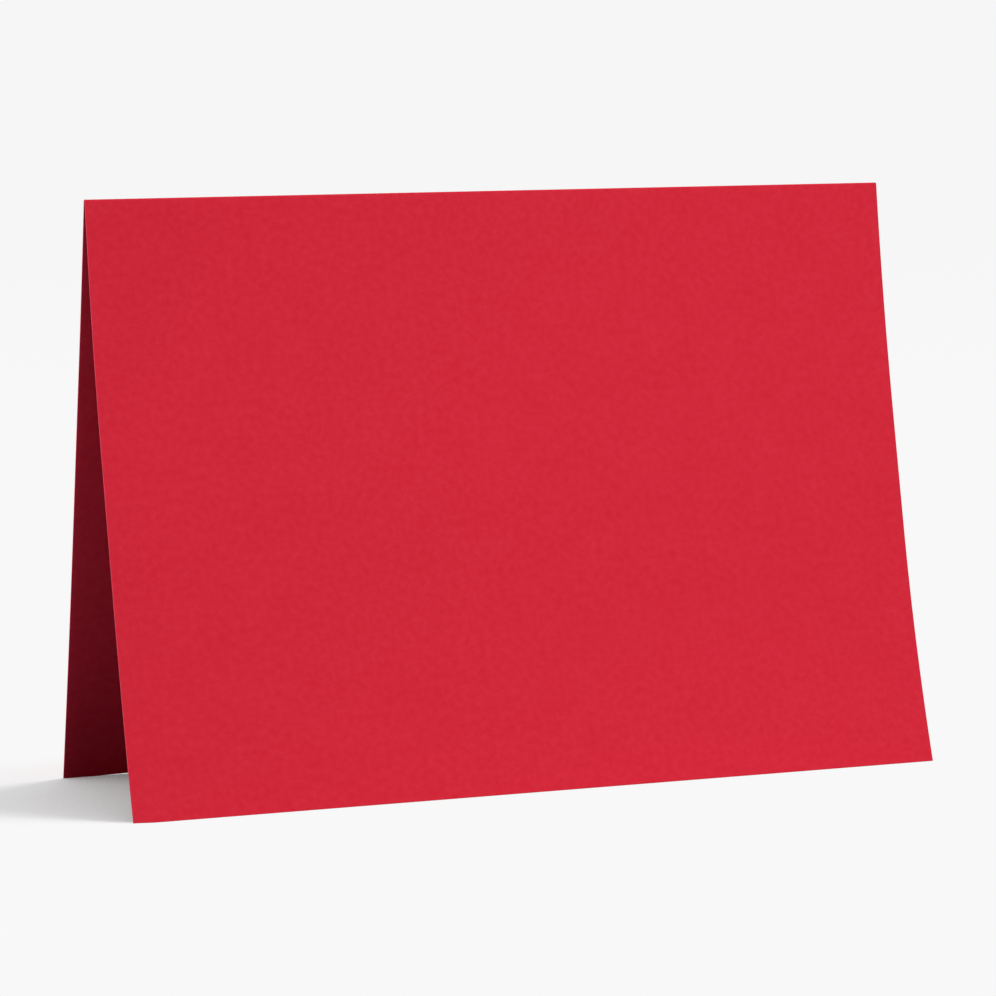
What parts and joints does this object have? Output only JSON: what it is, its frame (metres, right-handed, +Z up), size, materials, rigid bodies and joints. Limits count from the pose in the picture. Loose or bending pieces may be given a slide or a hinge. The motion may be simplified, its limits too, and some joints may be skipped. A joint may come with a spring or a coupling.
{
  "type": "folded card",
  "caption": "Plain folded card of dyed cover stock, standing as a tent on the edges of its bowed panels, with a scored fold along the top.",
  "frame": {"origin": "on the surface the card stands on, under the middle of the card's box: halfway along the fold and halfway between the outermost edges of the two feet", "axes": "+X along the fold, +Y from the front panel to the back panel, +Z up from the feet to the fold"},
  "size_m": [0.1778, 0.0568, 0.1237],
  "materials": {
    "cover_stock": "matte"
  },
  "bodies": {
    "root": {"folded_card": "cover_stock"}
  },
  "joints": []
}
